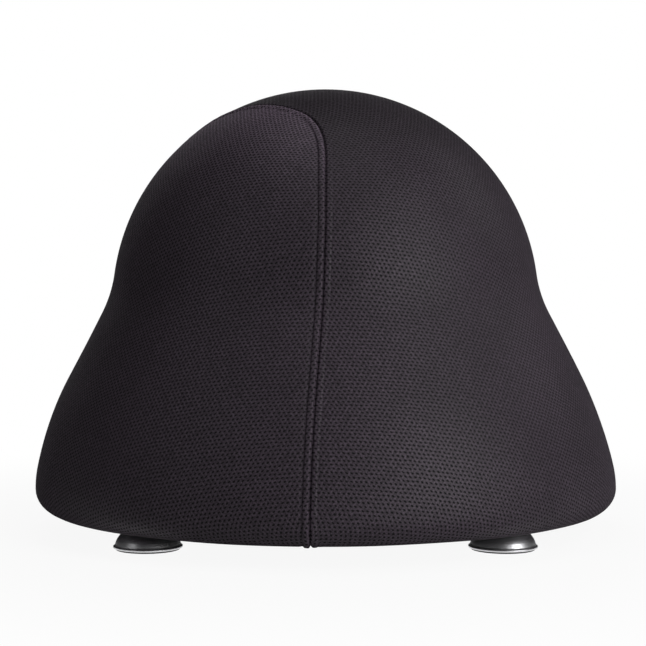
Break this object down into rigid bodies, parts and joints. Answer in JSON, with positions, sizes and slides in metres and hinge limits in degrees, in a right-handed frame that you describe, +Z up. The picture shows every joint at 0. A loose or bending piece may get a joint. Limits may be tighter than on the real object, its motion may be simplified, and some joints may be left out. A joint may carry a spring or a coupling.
{
  "type": "balance ball chair",
  "caption": "Backless balance ball seat: an inflated ball in a black mesh cover that flares to a round skirt, on an inner bar frame with low levelling feet.",
  "frame": {"origin": "centre of the footprint, on the floor under the feet", "axes": "+Z up from the floor through the crown, -Y towards the front, where one cover seam runs down the middle"},
  "size_m": [0.5716, 0.5716, 0.432],
  "materials": {
    "cover_mesh": "black three-layer air mesh, matt",
    "base_cloth": "black woven polyester, matt",
    "zip_tape": "black woven tape with nylon coil",
    "foam": "grey closed-cell foam",
    "ball_vinyl": "grey vinyl, satin",
    "valve_plastic": "off-white moulded plastic",
    "frame_coat": "black powder coat, fine texture",
    "cap_metal": "satin nickel-plated pressing",
    "pad_plastic": "black moulded nylon",
    "stud_steel": "zinc-plated steel",
    "eyelet_metal": "nickel-plated brass, satin",
    "zip_metal": "black enamelled zinc casting"
  },
  "bodies": {
    "chair": {"ball": "ball_vinyl", "ball_valve": "valve_plastic", "base_ring": "frame_coat", "cradle_ring": "frame_coat", "foam_skirt": "foam", "cover_saddle_panel": "cover_mesh", "cover_petal_front_left": "cover_mesh", "cover_petal_back_right": "cover_mesh", "bottom_panel": "base_cloth", "bottom_eyelets": "eyelet_metal", "zip_tape": "zip_tape", "leg_front_right": "frame_coat", "foot_boss_front_right": "frame_coat", "leg_back_right": "frame_coat", "foot_boss_back_right": "frame_coat", "leg_back_left": "frame_coat", "foot_boss_back_left": "frame_coat", "leg_front_left": "frame_coat", "foot_boss_front_left": "frame_coat", "rim_sleeve_right": "foam", "cradle_sleeve_right": "foam", "rim_sleeve_back": "foam", "cradle_sleeve_back": "foam", "rim_sleeve_left": "foam", "cradle_sleeve_left": "foam", "rim_sleeve_front": "foam", "cradle_sleeve_front": "foam"},
    "foot_front_right": {"foot_cap_front_right": "cap_metal", "foot_pad_front_right": "pad_plastic"},
    "stud_front_right": {"foot_stud_front_right": "stud_steel"},
    "foot_back_right": {"foot_cap_back_right": "cap_metal", "foot_pad_back_right": "pad_plastic"},
    "stud_back_right": {"foot_stud_back_right": "stud_steel"},
    "foot_back_left": {"foot_cap_back_left": "cap_metal", "foot_pad_back_left": "pad_plastic"},
    "stud_back_left": {"foot_stud_back_left": "stud_steel"},
    "foot_front_left": {"foot_cap_front_left": "cap_metal", "foot_pad_front_left": "pad_plastic"},
    "stud_front_left": {"foot_stud_front_left": "stud_steel"},
    "plug": {"ball_plug": "valve_plastic"},
    "zip_slider": {"zip_slider": "zip_metal"},
    "zip_pull": {"zip_pull": "zip_metal"}
  },
  "joints": [
    {"name": "foot_height_front_right", "type": "slide", "parent": "chair", "child": "foot_front_right", "axis": [0, 0, -1], "range_m": [0, 0.009]},
    {"name": "stud_turn_front_right", "type": "hinge", "parent": "foot_front_right", "child": "stud_front_right", "pos_m": [0.15981, -0.15981, 0.02], "axis": [0, 0, -1], "range_deg": [0, 2160]},
    {"name": "foot_height_back_right", "type": "slide", "parent": "chair", "child": "foot_back_right", "axis": [0, 0, -1], "range_m": [0, 0.009]},
    {"name": "stud_turn_back_right", "type": "hinge", "parent": "foot_back_right", "child": "stud_back_right", "pos_m": [0.15981, 0.15981, 0.02], "axis": [0, 0, -1], "range_deg": [0, 2160]},
    {"name": "foot_height_back_left", "type": "slide", "parent": "chair", "child": "foot_back_left", "axis": [0, 0, -1], "range_m": [0, 0.009]},
    {"name": "stud_turn_back_left", "type": "hinge", "parent": "foot_back_left", "child": "stud_back_left", "pos_m": [-0.15981, 0.15981, 0.02], "axis": [0, 0, -1], "range_deg": [0, 2160]},
    {"name": "foot_height_front_left", "type": "slide", "parent": "chair", "child": "foot_front_left", "axis": [0, 0, -1], "range_m": [0, 0.009]},
    {"name": "stud_turn_front_left", "type": "hinge", "parent": "foot_front_left", "child": "stud_front_left", "pos_m": [-0.15981, -0.15981, 0.02], "axis": [0, 0, -1], "range_deg": [0, 2160]},
    {"name": "plug_out", "type": "slide", "parent": "chair", "child": "plug", "axis": [0, 0.5736, -0.8192], "range_m": [0, 0.014]},
    {"name": "zip_run", "type": "hinge", "parent": "chair", "child": "zip_slider", "pos_m": [0, 0, 0.018], "axis": [0, 0, 1], "range_deg": [0, 163]},
    {"name": "pull_swing", "type": "hinge", "parent": "zip_slider", "child": "zip_pull", "pos_m": [-0.14815, -0.02346, 0.01485], "axis": [-0.9877, -0.1564, 0], "range_deg": [-80, 80]}
  ],
  "couplings": [
    {"joint": "stud_turn_front_right", "follows": "foot_height_front_right", "rad_per_m": 4188.8},
    {"joint": "stud_turn_back_right", "follows": "foot_height_back_right", "rad_per_m": 4188.8},
    {"joint": "stud_turn_back_left", "follows": "foot_height_back_left", "rad_per_m": 4188.8},
    {"joint": "stud_turn_front_left", "follows": "foot_height_front_left", "rad_per_m": 4188.8}
  ]
}
